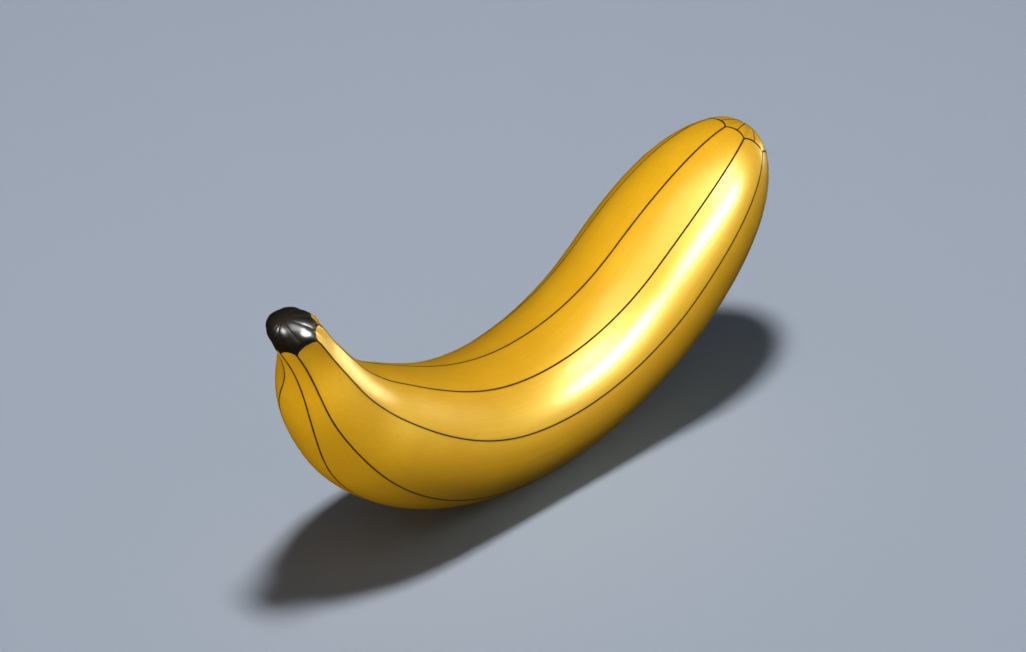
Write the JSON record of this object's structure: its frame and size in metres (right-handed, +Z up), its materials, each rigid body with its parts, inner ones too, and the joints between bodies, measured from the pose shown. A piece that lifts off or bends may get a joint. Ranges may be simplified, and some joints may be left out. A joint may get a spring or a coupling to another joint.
{
  "type": "banana",
  "caption": "Ripe banana lying on its outer curve, with a narrow fluted neck, a dried dark stem tip, soft lengthwise edges and a blunt scalloped end.",
  "frame": {"origin": "on the surface that the fruit rests on, under the centre of its box", "axes": "+Z up, +X from the stem tip towards the blunt end, with the bend lying in the X-Z plane"},
  "size_m": [0.1694, 0.0414, 0.0847],
  "materials": {
    "peel": "waxy golden yellow fruit peel with thin dark edge lines and a near-black dried stem tip"
  },
  "bodies": {
    "root": {"banana": "peel"}
  },
  "joints": []
}
